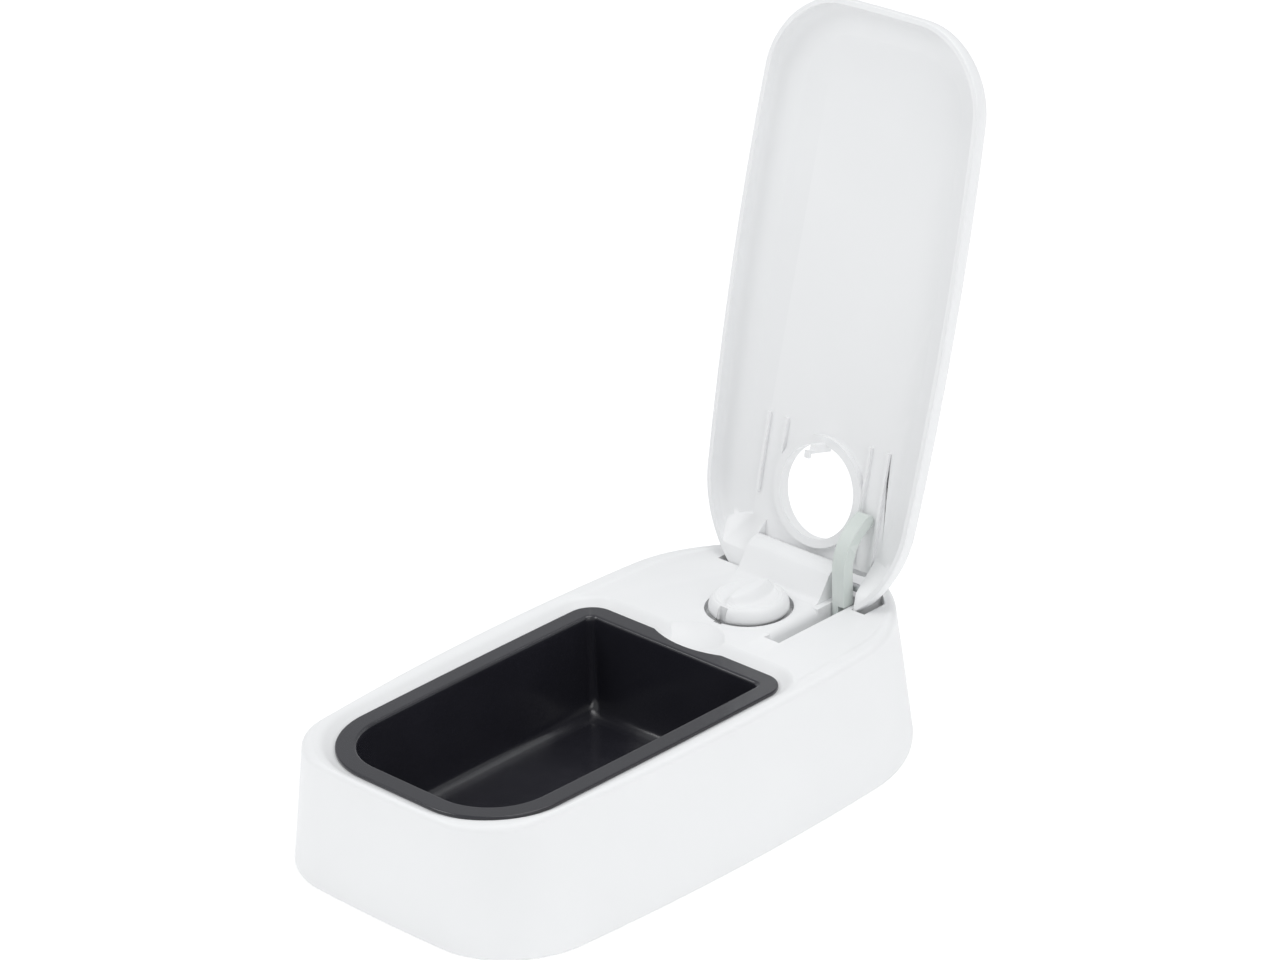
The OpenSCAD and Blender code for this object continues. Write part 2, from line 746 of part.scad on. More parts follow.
// Iron plate round the rotor, with two arms that carry the coil's core
module stator() {
    x = rotor_place.x;
    y = rotor_place.y;
    z0 = 22.2;
    z1 = 23.4;
    color("silver") difference() {
        union() {
            block([x - 6, y - 4.6, z0], [x + 6, y + 4.6, z1]);
            block([x - 6, y + 3, z0], [x - 1, coil_y + 2.3, z1]);
            block([x + 4, y - 4.6, z0], [x + 22, y - 1, z1]);
            block([x + 18, y - 4.6, z0], [x + 22, coil_y + 2.3, z1]);
            block([x - 6, coil_y - 1.3, z0], [x + 22, coil_y + 2.3, z1]);
        }
        post(rotor_place, z0 - 1, z1 + 1, 3.6);
    }
}

module coil() {
    x = rotor_place.x;
    color("#b5652a") difference() {
        rod_x(x + 1.5, x + 16, coil_y, 22.8, 3.2);
        block([x, coil_y - 1.4, 22.1], [x + 18, coil_y + 2.4, 23.5]);
    }
}

module circuit_board() {
    color("darkgreen") difference() {
        block([6, 69.4, 18.4], [case_right - case_wall - 0.6, 87, 19.6]);
        for (y = [73, 84]) post([19, y], 18, 20, 0.8, 24);
    }
    color("black") block([9, 74, 19.5], [15, 80, 20.8]);
}

// ---- Battery ----
module battery() {
    color("darkkhaki") {
        rod_x(-battery_hl + 0.6, battery_hl - 0.8, battery_y, battery_z, battery_r);
        rod_x(battery_hl - 0.9, battery_hl + 0.2, battery_y, battery_z, 2.6);
    }
}

module battery_spring() {
    steps = 44;
    span = 2.6;
    path = [for (i = [0:steps]) let (t = i / steps, a = 360 * 3 * t)
        [-27.4 + span * t, battery_y + (5 - 2.4 * t) * cos(a), battery_z + (5 - 2.4 * t) * sin(a)]];
    color("silver") {
        tube(path, 0.35);
        block([-28, battery_y - 5.5, battery_z - 5.5], [-27.6, battery_y + 5.5, battery_z + 7.5]);
    }
}

module battery_plate() {
    color("silver") {
        block([27.3, battery_y - 5.5, battery_z - 5.5], [27.9, battery_y + 5.5, battery_z + 7.5]);
        rod_x(battery_hl + 0.25, 27.4, battery_y, battery_z, 2.2, 32);
    }
}

module battery_door() {
    color("gainsboro") {
        difference() {
            block([-27.5, battery_y - 8.9, 0.1], [27.5, battery_y + 8.4, 1.15]);
            for (x = [-6:3:6]) block([x - 0.6, battery_y - 6.5, -1], [x + 0.6, battery_y - 1.5, 0.5]);
        }
        block([-29, battery_y - 6.5, 0.65], [29, battery_y + 5.5, 1.15]);
    }
}

base_housing();
base_plate();
rubber_pads();
base_screws();
bowl();
lid();
hinge_pin();
lever_arm();
lever_pin();
lever_spring();
timer_knob();
knob_spindle();
spindle_clip();
knob_wheel();
movement_case();
movement_cover();
movement_screws();
middle_wheel();
second_wheel();
rotor();
stator();
coil();
circuit_board();
battery();
battery_spring();
battery_plate();
battery_door();
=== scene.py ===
"""Looks of the automatic pet feeder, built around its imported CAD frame.

Shapes are written in millimetres in the frame's axes and become metres when a mesh is made.
"""

import json
import math

import bmesh
import bpy
import numpy as np
from mathutils import Matrix, Vector


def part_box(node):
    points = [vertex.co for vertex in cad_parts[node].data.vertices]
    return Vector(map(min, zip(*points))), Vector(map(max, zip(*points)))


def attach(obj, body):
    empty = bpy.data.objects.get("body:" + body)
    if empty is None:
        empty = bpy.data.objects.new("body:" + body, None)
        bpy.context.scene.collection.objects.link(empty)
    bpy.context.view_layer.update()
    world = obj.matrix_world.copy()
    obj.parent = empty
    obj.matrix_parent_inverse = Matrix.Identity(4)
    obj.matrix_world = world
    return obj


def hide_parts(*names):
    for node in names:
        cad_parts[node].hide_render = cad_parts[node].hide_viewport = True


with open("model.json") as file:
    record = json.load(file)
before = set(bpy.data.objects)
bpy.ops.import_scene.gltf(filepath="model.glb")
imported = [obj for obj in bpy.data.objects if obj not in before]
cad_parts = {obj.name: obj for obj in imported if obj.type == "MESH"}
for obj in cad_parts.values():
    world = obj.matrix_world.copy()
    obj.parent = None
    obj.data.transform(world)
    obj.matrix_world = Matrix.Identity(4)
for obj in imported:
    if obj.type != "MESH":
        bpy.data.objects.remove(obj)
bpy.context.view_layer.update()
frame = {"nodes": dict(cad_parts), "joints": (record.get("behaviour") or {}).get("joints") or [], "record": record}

MM = 0.001
NODES = frame["nodes"]
JOINTS = {j["name"]: j for j in frame["joints"]}


def node_box(node):
    """Lowest and highest corner of a CAD node, in millimetres."""
    low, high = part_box(node)
    return Vector(low) / MM, Vector(high) / MM


# ---- Sizes shared by several pieces, in millimetres ----
BASE_HIGH = node_box("base_housing")[1]
BOWL_LOW, BOWL_HIGH = node_box("bowl")
KNOB_HIGH = node_box("timer_knob")[1]
HINGE = Vector(JOINTS["lid_hinge"]["pos_m"]) / MM
KNOB_AXIS = Vector(JOINTS["knob_turn"]["pos_m"]) / MM
PIVOT = Vector(JOINTS["lever_pivot"]["pos_m"]) / MM

WALL = 2.4
HINGE_RISE = 5.3
DECK_Z = HINGE.z - HINGE_RISE
RIM_Z = DECK_Z + 0.5
# top of the tools that cut the knob's well, the lever's channel and the ear pockets
TOOL_TOP = RIM_Z + 9
UNDER_DECK = DECK_Z - WALL + 0.5
SIDE_LEAN = 9.2
END_LEAN = 3
CORNER_LOSS = 9
EDGE_R = 2.4
SIDE_BOW = 7.5
END_BOW = 2.4
BASE_HL = BASE_HIGH.y
BASE_HW_FRONT = 60.6
BASE_HW_REAR = 60.7
FRONT_R = 30
REAR_R = 60.2

KNUCKLE_R = 6
KNUCKLE_LEFT = -22
KNUCKLE_RIGHT = 17.5
BAY_RIGHT = 29.7
OPEN_ANGLE = math.radians(104.5)
SKIRT_DROP = 4.2
LID_TIP = -202.6
LID_TAIL = 17.8
LID_BOW = 4.9
LID_HW_TIP = 47.3
LID_HW_TAIL = 45.1
LID_TIP_R = 29
LID_TAIL_R = 44
LID_END_BOW = 1.2
LID_FLOOR = 3.8
HOLE_Y = KNOB_AXIS.y - HINGE.y
HOLE_R = 17.2
COLLAR_R = 20.4

WELL_R = 16
WELL_Z = DECK_Z - 3.4
CHANNEL_LEFT = 20.2
CHANNEL_RIGHT = 27.3
CHANNEL_FRONT = 50.4
CHANNEL_REAR = 94.6
CHANNEL_FLOOR = 36
CHANNEL_BEND = (70.9, DECK_Z + 10.9)
CHANNEL_BEND_R = 23.2
EAR_REACH = 35.4
# radii of the bores for the hinge pin, in the housing and in the lid, and for the lever's pin
HINGE_BORE_R = 1.52
LID_BORE_R = 1.55
LEVER_BORE_R = 1.22
HUB_BORE_R = 1.25

BOWL_FRONT = BOWL_LOW.y
BOWL_REAR = BOWL_HIGH.y
BOWL_HW_FRONT = 47
BOWL_HW_REAR = 48.2
BOWL_FRONT_R = 30
BOWL_FRONT_R_MIN = 8
BOWL_REAR_R = 9.5
BOWL_REAR_R_MIN = 3
BOWL_SIDE_BOW = 0.6
FLANGE_TOP = BOWL_HIGH.z
FLANGE_T = 1.4
FLANGE_W = 7
SEAT_Z = FLANGE_TOP - FLANGE_T - 0.05


# ---- Mesh helpers ----
def new_object(name, bm):
    """Turns a bmesh in millimetres into an object in metres."""
    bmesh.ops.recalc_face_normals(bm, faces=bm.faces)
    bmesh.ops.scale(bm, vec=(MM, MM, MM), verts=bm.verts)
    mesh = bpy.data.meshes.new(name)
    bm.to_mesh(mesh)
    bm.free()
    obj = bpy.data.objects.new(name, mesh)
    bpy.context.scene.collection.objects.link(obj)
    return obj


def arc(cx, cy, r, start, steps):
    """Points of a quarter round from the angle start, in degrees."""
    angles = [math.radians(start + 90 * i / steps) for i in range(steps + 1)]
    return [(cx + r * math.cos(a), cy + r * math.sin(a)) for a in angles]


def circle(cx, cy, r, steps):
    """Points of a full round, anticlockwise from its right."""
    angles = [2 * math.pi * k / steps for k in range(steps)]
    return [(cx + r * math.cos(a), cy + r * math.sin(a)) for a in angles]


def between(p, q, count):
    """Evenly spaced points between p and q, without the two ends."""
    return [(p[0] + (q[0] - p[0]) * i / count, p[1] + (q[1] - p[1]) * i / count) for i in range(1, count)]


def outline(hl, wf, wr, rf, rr, side_bow, end_bow, steps=24, mid_y=0.0):
    """Rounded trapezium with bowed sides, anticlockwise; f is the -Y end and r is the +Y end."""
    a = arc(wr - rr, hl - rr, rr, 0, steps)
    b = arc(rr - wr, hl - rr, rr, 90, steps)
    c = arc(rf - wf, rf - hl, rf, 180, steps)
    d = arc(wf - rf, rf - hl, rf, 270, steps)
    raw = a + between(a[-1], b[0], 8) + b + between(b[-1], c[0], 24)
    raw += c + between(c[-1], d[0], 10) + d + between(d[-1], a[0], 24)
    hw = max(wf, wr)
    return [
        (x * (1 + side_bow / hw * (1 - (y / hl) ** 2)), y * (1 + end_bow / hl * (1 - (x / hw) ** 2)) + mid_y)
        for x, y in raw
    ]


def base_ring(si, ei, dr):
    """Base's outline, moved in by si at the sides and ei at the ends, its corners smaller by dr."""
    return outline(
        BASE_HL - END_BOW - ei, BASE_HW_FRONT - si, BASE_HW_REAR - si,
        FRONT_R - dr, REAR_R - dr, SIDE_BOW, END_BOW,
    )


def lid_ring(inset):
    half = (LID_TAIL - LID_TIP) / 2
    return outline(
        half - inset, LID_HW_TIP - inset, LID_HW_TAIL - inset,
        LID_TIP_R - inset, LID_TAIL_R - inset, LID_BOW, LID_END_BOW, mid_y=(LID_TAIL + LID_TIP) / 2,
    )


def bowl_ring(inset):
    return outline(
        (BOWL_REAR - BOWL_FRONT) / 2 - inset, BOWL_HW_FRONT - inset, BOWL_HW_REAR - inset,
        max(BOWL_FRONT_R - inset, BOWL_FRONT_R_MIN), max(BOWL_REAR_R - inset, BOWL_REAR_R_MIN),
        BOWL_SIDE_BOW, 0, mid_y=(BOWL_REAR + BOWL_FRONT) / 2,
    )


def bridge(bm, rows):
    """Four-sided faces between neighbouring closed rows of vertices."""
    for low, high in zip(rows, rows[1:]):
        for i in range(len(low)):
            j = (i + 1) % len(low)
            bm.faces.new((low[i], low[j], high[j], high[i]))


def loft(rings):
    """Closed skin through rings of (x, y, z) points; returns a bmesh."""
    bm = bmesh.new()
    rows = [[bm.verts.new(p) for p in ring] for ring in rings]
    bridge(bm, rows)
    bm.faces.new(list(reversed(rows[0])))
    bm.faces.new(rows[-1])
    return bm


def at(ring, z):
    """Ring of (x, y) points, placed at the height z."""
    return [(x, y, z) for x, y in ring]


def extruded(name, ring, z0, z1):
    return new_object(name, loft([at(ring, z0), at(ring, z1)]))


def prism_x(name, x0, x1, points):
    """Shape on the Y-Z plane, drawn out along X."""
    return new_object(name, loft([[(x, y, z) for y, z in points] for x in (x0, x1)]))


def rod_x(name, x0, x1, y, z, r, steps=96):
    """Cylinder along X."""
    return prism_x(name, x0, x1, circle(y, z, r, steps))


def box(name, low, high):
    (x0, y0, z0), (x1, y1, z1) = low, high
    return prism_x(name, x0, x1, [(y0, z0), (y1, z0), (y1, z1), (y0, z1)])


def drum(name, x, y, z0, z1, r, steps=128):
    """Upright cylinder, with fans of triangles as its ends."""
    bm = bmesh.new()
    low_end, high_end = (bm.verts.new((x, y, z)) for z in (z0, z1))
    low, high = ([bm.verts.new(p) for p in at(circle(x, y, r, steps), z)] for z in (z0, z1))
    bridge(bm, [low, high])
    for i in range(steps):
        j = (i + 1) % steps
        bm.faces.new((low_end, low[j], low[i]))
        bm.faces.new((high_end, high[i], high[j]))
    return new_object(name, bm)


def smooth_path(points, steps=5):
    """Curve through points, from the first to the last."""
    ends = [points[0]] + list(points) + [points[-1]]
    path = []
    for i in range(1, len(ends) - 2):
        p0, p1, p2, p3 = (np.array(p, float) for p in ends[i - 1:i + 3])
        for k in range(steps):
            t = k / steps
            path.append(tuple(0.5 * (
                2 * p1 + (p2 - p0) * t + (2 * p0 - 5 * p1 + 4 * p2 - p3) * t * t
                + (3 * p1 - p0 - 3 * p2 + p3) * t * t * t
            )))
    path.append(tuple(points[-1]))
    return path


def apply_modifiers(obj):
    """Bakes the modifiers into the mesh."""
    graph = bpy.context.evaluated_depsgraph_get()
    mesh = bpy.data.meshes.new_from_object(obj.evaluated_get(graph))
    obj.modifiers.clear()
    obj.data = mesh


def combine(obj, tool, operation):
    """Joins, cuts or intersects obj with tool and removes tool."""
    mod = obj.modifiers.new("solid", "BOOLEAN")
    mod.operation = operation
    mod.solver = "MANIFOLD"
    mod.object = tool
    apply_modifiers(obj)
    bpy.data.objects.remove(tool)
    return obj


def cut(obj, *tools):
    for tool in tools:
        combine(obj, tool, "DIFFERENCE")
    return obj


def join(obj, *tools):
    for tool in tools:
        combine(obj, tool, "UNION")
    return obj


def meet(obj, tool):
    return combine(obj, tool, "INTERSECT")


def soften(obj, width=0.35, segments=2, angle=40):
    """Small round on the sharp edges, and smooth shading."""
    bm = bmesh.new()
    bm.from_mesh(obj.data)
    bmesh.ops.remove_doubles(bm, verts=bm.verts, dist=0.002 * MM)
    bmesh.ops.dissolve_degenerate(bm, edges=bm.edges, dist=0.002 * MM)
    bm.to_mesh(obj.data)
    bm.free()
    for poly in obj.data.polygons:
        poly.use_smooth = True
    if width:
        mod = obj.modifiers.new("edge", "BEVEL")
        mod.width = width * MM
        mod.segments = segments
        mod.limit_method = "ANGLE"
        mod.angle_limit = math.radians(angle)
        mod.use_clamp_overlap = True
        mod.harden_normals = True
        mod.miter_outer = "MITER_ARC"
    # large faces weigh more in the shading than the narrow rounds beside them
    mod = obj.modifiers.new("shading", "WEIGHTED_NORMAL")
    mod.mode = "FACE_AREA"
    mod.weight = 50
    apply_modifiers(obj)
    return obj


def finish_piece(obj, body, slot, material, *nodes):
    """Gives a piece its body and its material, and hides the CAD nodes it stands for; the slot argument is not
    used.
    """
    obj.data.materials.clear()
    obj.data.materials.append(material)
    for poly in obj.data.polygons:
        poly.use_smooth = True
    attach(obj, body)
    if nodes:
        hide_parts(*nodes)
    return obj


# ---- Base housing ----
FOOT_R = 0.8


def base_outside():
    """Outer skin: a small round at the foot, leaning sides and a round at the rim."""
    high_z = RIM_Z - EDGE_R
    rings = []
    for k in range(7):
        a = math.radians(90 * k / 6)
        t = FOOT_R * (1 - math.sin(a))
        rings.append(at(base_ring(t, t, t), FOOT_R * (1 - math.cos(a))))
    for k in range(1, 25):
        f = k / 24
        ring = base_ring(f * SIDE_LEAN, f * END_LEAN, f * CORNER_LOSS)
        rings.append(at(ring, FOOT_R + f * (high_z - FOOT_R)))
    for k in range(1, 17):
        a = math.radians(90 * k / 16)
        t = EDGE_R * (1 - math.cos(a))
        ring = base_ring(SIDE_LEAN + t, END_LEAN + t, CORNER_LOSS + t)
        rings.append(at(ring, high_z + EDGE_R * math.sin(a)))
    return new_object("housing", loft(rings))


def base_hollow():
    """Room inside the walls and under the deck."""
    top = DECK_Z - WALL
    rings = []
    for k in range(9):
        f = k / 8
        ring = base_ring(f * SIDE_LEAN + WALL, f * END_LEAN + WALL, f * CORNER_LOSS + WALL)
        rings.append(at(ring, -0.5 + f * (top + 0.5)))
    return new_object("hollow", loft(rings))


def ear_space(grow, r, front):
    """Space that the lid's two tail ears swing through."""
    column = extruded("ears", [(x, y + HINGE.y) for x, y in lid_ring(-grow)], 24, 64)
    meet(column, rod_x("swing", -60, 60, HINGE.y, HINGE.z, r))
    side = [
        (front, DECK_Z), (front - 4, DECK_Z - 15.3), (130, DECK_Z - 15.3), (130, TOOL_TOP), (front, TOOL_TOP),
    ]
    return meet(column, prism_x("slice", -60, 60, side))


def ear_pockets():
    """Pockets in the deck for the lid's ears."""
    space = ear_space(grow=1.2, r=19.4, front=86.2)
    meet(space, box("reach", (-EAR_REACH, 60, 10), (EAR_REACH, 140, 80)))
    return cut(space, box("middle", (KNUCKLE_LEFT - 0.3, 60, 10), (BAY_RIGHT - 0.5, 140, 80)))


def ear_pocket_walls():
    """Walls round the pockets, below the deck."""
    reach = EAR_REACH + 2
    walls = ear_space(grow=3.2, r=21.6, front=83.6)
    meet(walls, box("reach", (-reach, 60, 10), (reach, 140, 80)))
    cut(walls, box("middle", (KNUCKLE_LEFT + 2, 60, 10), (CHANNEL_RIGHT - 0.2, 140, 80)))
    return cut(walls, box("above", (-80, 60, UNDER_DECK), (80, 140, 90)))


def knuckle():
    """Hinge knuckle: a round top, and a ramp down to the deck with a hollow foot."""
    ramp = math.radians(145)
    foot_r = 4
    lean = ramp - math.pi / 2
    top = (HINGE.y + KNUCKLE_R * math.cos(ramp), HINGE.z + KNUCKLE_R * math.sin(ramp))
    corner_y = top[0] - (top[1] - DECK_Z) / math.tan(lean)
    foot_y = corner_y - foot_r * math.tan(lean / 2)
    points = [(HINGE.y + KNUCKLE_R, DECK_Z - 1)]
    for k in range(33):
        a = ramp * k / 32
        points.append((HINGE.y + KNUCKLE_R * math.cos(a), HINGE.z + KNUCKLE_R * math.sin(a)))
    for k in range(13):
        a = lean * (1 - k / 12)
        points.append((foot_y + foot_r * math.sin(a), DECK_Z + foot_r * (1 - math.cos(a))))
    points.append((foot_y, DECK_Z - 1))
    return prism_x("knuckle", KNUCKLE_LEFT, KNUCKLE_RIGHT, points)


def channel_cut():
    """Groove that the folded lever lies in; its left side is eased down towards the lever."""
    bend_y, bend_z = CHANNEL_BEND
    groove = rod_x("groove", CHANNEL_LEFT, CHANNEL_RIGHT, bend_y, bend_z, CHANNEL_BEND_R, 256)
    rear_low = (CHANNEL_LEFT, bend_y, CHANNEL_FLOOR - 1)
    rear_high = (CHANNEL_RIGHT, bend_y + 30, RIM_Z + 20)
    join(groove, box("rear", rear_low, rear_high))
    meet(groove, box("limit", (0, CHANNEL_FRONT, CHANNEL_FLOOR), (60, CHANNEL_REAR, TOOL_TOP)))
    ease = 3.2
    drop = 3
    section = [(CHANNEL_LEFT - ease, DECK_Z + 1), (CHANNEL_LEFT - ease, DECK_Z)]
    for k in range(1, 13):
        a = math.radians(90 * k / 12)
        section.append((CHANNEL_LEFT - ease + ease * math.sin(a), DECK_Z - drop * (1 - math.cos(a))))
    section += [(CHANNEL_LEFT + 1, DECK_Z - drop), (CHANNEL_LEFT + 1, DECK_Z + 1)]
    rings = [[(x, y, z) for x, z in section] for y in (CHANNEL_FRONT + 3, CHANNEL_FRONT + 28)]
    return join(groove, new_object("ease", loft(rings)))


# height over the seat and reach beyond the flange, where the deck rises round the bowl
BOWL_RISE = [(0, 0.35), (0.2, 0.9), (0.8, 2), (1.7, 3.1), (2.5, 4.1), (3.15, 5.4), (3.7, 7.5)]


def bowl_seat():
    """Hollow over the bowl's flange, whose sides rise softly to the deck."""
    levels = smooth_path(BOWL_RISE, 4) + [(8, 9)]
    return new_object("bowl_seat", loft([at(bowl_ring(-reach), SEAT_Z + rise) for rise, reach in levels]))


def lid_seat():
    """Room over the deck for the closed lid, with a soft step up to the rim."""
    levels = [(0, 0.9), (0.12, 1.5), (0.36, 2.4), (0.6, 3.4), (20, 4.9)]
    rings = []
    for rise, reach in levels:
        rings.append([(x, y + HINGE.y, DECK_Z + rise) for x, y in lid_ring(-reach)])
    return new_object("lid_seat", loft(rings))


# radius of the scoop's ball, and its centre's place ahead of the bowl's rear and above the deck
SCOOP_R = 23.2
SCOOP_AHEAD = 2.1
SCOOP_RISE = 18.1


def finger_scoop():
    """Ball that hollows the deck, so that a finger gets under the bowl's flange."""
    bm = bmesh.new()
    bmesh.ops.create_uvsphere(bm, u_segments=128, v_segments=96, radius=SCOOP_R)
    bmesh.ops.translate(bm, verts=bm.verts, vec=(0, BOWL_REAR - SCOOP_AHEAD, DECK_Z + SCOOP_RISE))
    return new_object("scoop", bm)


BOSSES = [(-52, -62), (52, -62), (-53.5, 8), (53.5, 8), (-40, 74), (43, 74)]
BOSS_R = 3.3
SCREW_R = 1.25


def housing():
    """Shell of the base, with everything that stands in it and every hollow cut in it."""
    shell = cut(base_outside(), base_hollow())
    tub_low = (CHANNEL_LEFT - 2.6, CHANNEL_FRONT - 2, CHANNEL_FLOOR - 2)
    tub_high = (CHANNEL_RIGHT + 1.9, CHANNEL_REAR + 1.8, UNDER_DECK)
    join(
        shell,
        extruded("ledge", bowl_ring(-4.5), DECK_Z - 6, DECK_Z - 2),
        drum("well", KNOB_AXIS.x, KNOB_AXIS.y, WELL_Z - 2.4, UNDER_DECK, WELL_R + 2.2),
        drum("scoop_pad", 0, BOWL_REAR + 2, DECK_Z - 8, UNDER_DECK, 19),
        box("tub", tub_low, tub_high),
        ear_pocket_walls(),
    )
    for x, y in BOSSES:
        join(shell, drum("boss", x, y, 2.4, UNDER_DECK, BOSS_R, 32))
        cut(shell, drum("bore", x, y, 1.4, 14.4, SCREW_R, 32))
    cut(shell, lid_seat())
    join(shell, knuckle())
    hook_low = (-1.8, KNOB_AXIS.y - WELL_R - 0.8, WELL_Z)
    hook_high = (1.8, KNOB_AXIS.y - WELL_R + 2, TOOL_TOP)
    cut(
        shell,
        bowl_seat(),
        extruded("bowl_hole", bowl_ring(FLANGE_W - 1.6), DECK_Z - 12, DECK_Z + 20),
        finger_scoop(),
        drum("knob_well", KNOB_AXIS.x, KNOB_AXIS.y, WELL_Z, TOOL_TOP, WELL_R),
        box("hook_room", hook_low, hook_high),
        drum("bearing", KNOB_AXIS.x, KNOB_AXIS.y, WELL_Z - 9, WELL_Z + 1, 3.05, 48),
        channel_cut(),
        ear_pockets(),
        rod_x("pin_bore", KNUCKLE_LEFT - 1, KNUCKLE_RIGHT + 1, HINGE.y, HINGE.z, HINGE_BORE_R, 48),
        rod_x("lever_bore", CHANNEL_LEFT - 3, CHANNEL_RIGHT + 4, PIVOT.y, PIVOT.z, LEVER_BORE_R, 48),
    )
    return soften(shell, 0.4)


# ---- Bowl ----
BOWL_HEIGHT = FLANGE_TOP - BOWL_LOW.z
BOWL_WALL = 1.6
# height fraction and inset of the inner wall, from the floor up
BOWL_PROFILE = [(0, 10), (0.03, 6.6), (0.1, 4.4), (0.3, 2.8), (0.65, 1.6), (1, 0.5)]


def bowl():
    """One closed skin: up the outside, round the flange and down the inside."""
    z_low = FLANGE_TOP - BOWL_HEIGHT
    wall_path = smooth_path(BOWL_PROFILE)
    outside = [(FLANGE_W + inset - BOWL_WALL, z_low + f * (BOWL_HEIGHT - 0.5)) for f, inset in wall_path]
    under = FLANGE_TOP - FLANGE_T
    section = [p for p in outside if p[1] < under - 0.3]
    section += [(FLANGE_W - 1, under), (0.25, under), (0, under + 0.25)]
    for k in range(7):
        a = math.radians(90 * k / 6)
        section.append((0.6 * (1 - math.cos(a)), FLANGE_TOP - 0.6 * (1 - math.sin(a))))
    lip = 1.3
    for k in range(9):
        a = math.radians(90 * k / 8)
        section.append((FLANGE_W + 0.5 - lip * (1 - math.sin(a)), FLANGE_TOP - lip * (1 - math.cos(a))))
    rise = BOWL_HEIGHT - BOWL_WALL
    inside = [(FLANGE_W + inset, FLANGE_TOP - rise + f * rise) for f, inset in reversed(wall_path)]
    section += [p for p in inside if p[1] < FLANGE_TOP - lip - 0.3]
    shell = new_object("bowl_shell", loft([at(bowl_ring(inset), z) for inset, z in section]))
    cut(shell, drum("finger", 0, BOWL_REAR + 36.2, FLANGE_TOP - 3, FLANGE_TOP + 3, 40, 256))
    return soften(shell, 0.35, angle=50)


# ---- Lid, drawn closed about its hinge axis and then stood open ----
LID_OUTER = [(-4.2, 0.6), (-3.7, 0.15), (-1.2, 0), (1, 0.6), (2.8, 1.9), (4.2, 4), (5.2, 7.4), (5.8, 13.5)]
LID_INNER = [(-4.4, 2.1), (-1, 2.3), (0.6, 3), (2, 4.8), (3, 7.8), (LID_FLOOR, 13.5)]
RAIL_PLACES = [-28.5, -20, 20, 28.5]
RAIL_HALF = 0.6
RAIL_FAR = -50
RAIL_NEAR_LEFT = -20
RAIL_NEAR_RIGHT = -7.5
HOOK_HALF = 1.1
HOOK_T = 1.3


def lid_skin(name, profile):
    """Solid whose wall follows a profile of (height, inset) points."""
    return new_object(name, loft([at(lid_ring(inset), z) for z, inset in smooth_path(profile)]))


def lid_hook():
    """Hook that the knob's cap holds down until its notch comes round."""
    toe_z = CAP_Z - 0.3 - HINGE.z
    neck_z = DECK_Z + 0.8 - HINGE.z
    low_z = toe_z - HOOK_T
    back = HOLE_Y - 14.9
    stem = box("hook", (-HOOK_HALF, HOLE_Y - HOLE_R - 0.8, neck_z), (HOOK_HALF, back, LID_FLOOR + 0.8))
    join(stem, box("neck", (-HOOK_HALF, HOLE_Y - WELL_R, low_z), (HOOK_HALF, back, neck_z + 0.1)))
    return join(stem, box("toe", (-HOOK_HALF, HOLE_Y - 15.2, low_z), (HOOK_HALF, HOLE_Y - 13.3, toe_z)))


def lid_ears():
    """Solid ears on both sides of the knuckle and the lever."""
    side = [(-11, LID_FLOOR), (0.5, -SKIRT_DROP), (20, -SKIRT_DROP), (20, 10), (-11, 10)]
    ears = meet(prism_x("ears", -60, 60, side), lid_skin("limit", LID_OUTER))
    return cut(ears, box("between", (KNUCKLE_LEFT - 0.6, -30, -20), (BAY_RIGHT, 30, 20)))


def lid():
    """Dished shell with its rails, collar, ears and hook, turned open about the hinge."""
    shell = cut(lid_skin("lid_shell", LID_OUTER), lid_skin("hollow", LID_INNER))
    for x in RAIL_PLACES:
        near = RAIL_NEAR_RIGHT if x > 0 else RAIL_NEAR_LEFT
        low = (x - RAIL_HALF, RAIL_FAR, LID_FLOOR - 1.2)
        high = (x + RAIL_HALF, near, LID_FLOOR + 0.5)
        join(shell, box("rail", low, high))
    join(shell, drum("collar", 0, HOLE_Y, LID_FLOOR - 2.4, LID_FLOOR + 0.5, COLLAR_R), lid_ears())
    cut(
        shell,
        rod_x("knuckle_room", KNUCKLE_LEFT - 0.6, BAY_RIGHT, 0, 0, KNUCKLE_R + 0.35),
        box("bay", (KNUCKLE_LEFT - 0.6, 0, -10), (BAY_RIGHT, 30, 10)),
        drum("hole", 0, HOLE_Y, -8, 12, HOLE_R, 160),
        rod_x("pin_bore", KNUCKLE_LEFT - 11.2, BAY_RIGHT + 3.5, 0, 0, LID_BORE_R, 48),
    )
    join(shell, lid_hook())
    soften(shell, 0.35)
    shell.data.transform(Matrix.Translation(HINGE * MM) @ Matrix.Rotation(-OPEN_ANGLE, 4, "X"))
    return shell


# ---- Timer knob ----
KNOB_R = KNOB_HIGH.x
CAP_Z = DECK_Z - 0.3
CAP_TOP = DECK_Z + 5
GRIP_TOP = KNOB_HIGH.z
SHOULDER = 3.2
CAP_DROP = 4.2
NECK_R = 12.7
GRIP_HL = 12.6
GRIP_HW = 4.6


def step(x):
    """Soft step from 0 at x = 0 to 1 at x = 1."""
    x = min(max(x, 0), 1)
    return x * x * (3 - 2 * x)


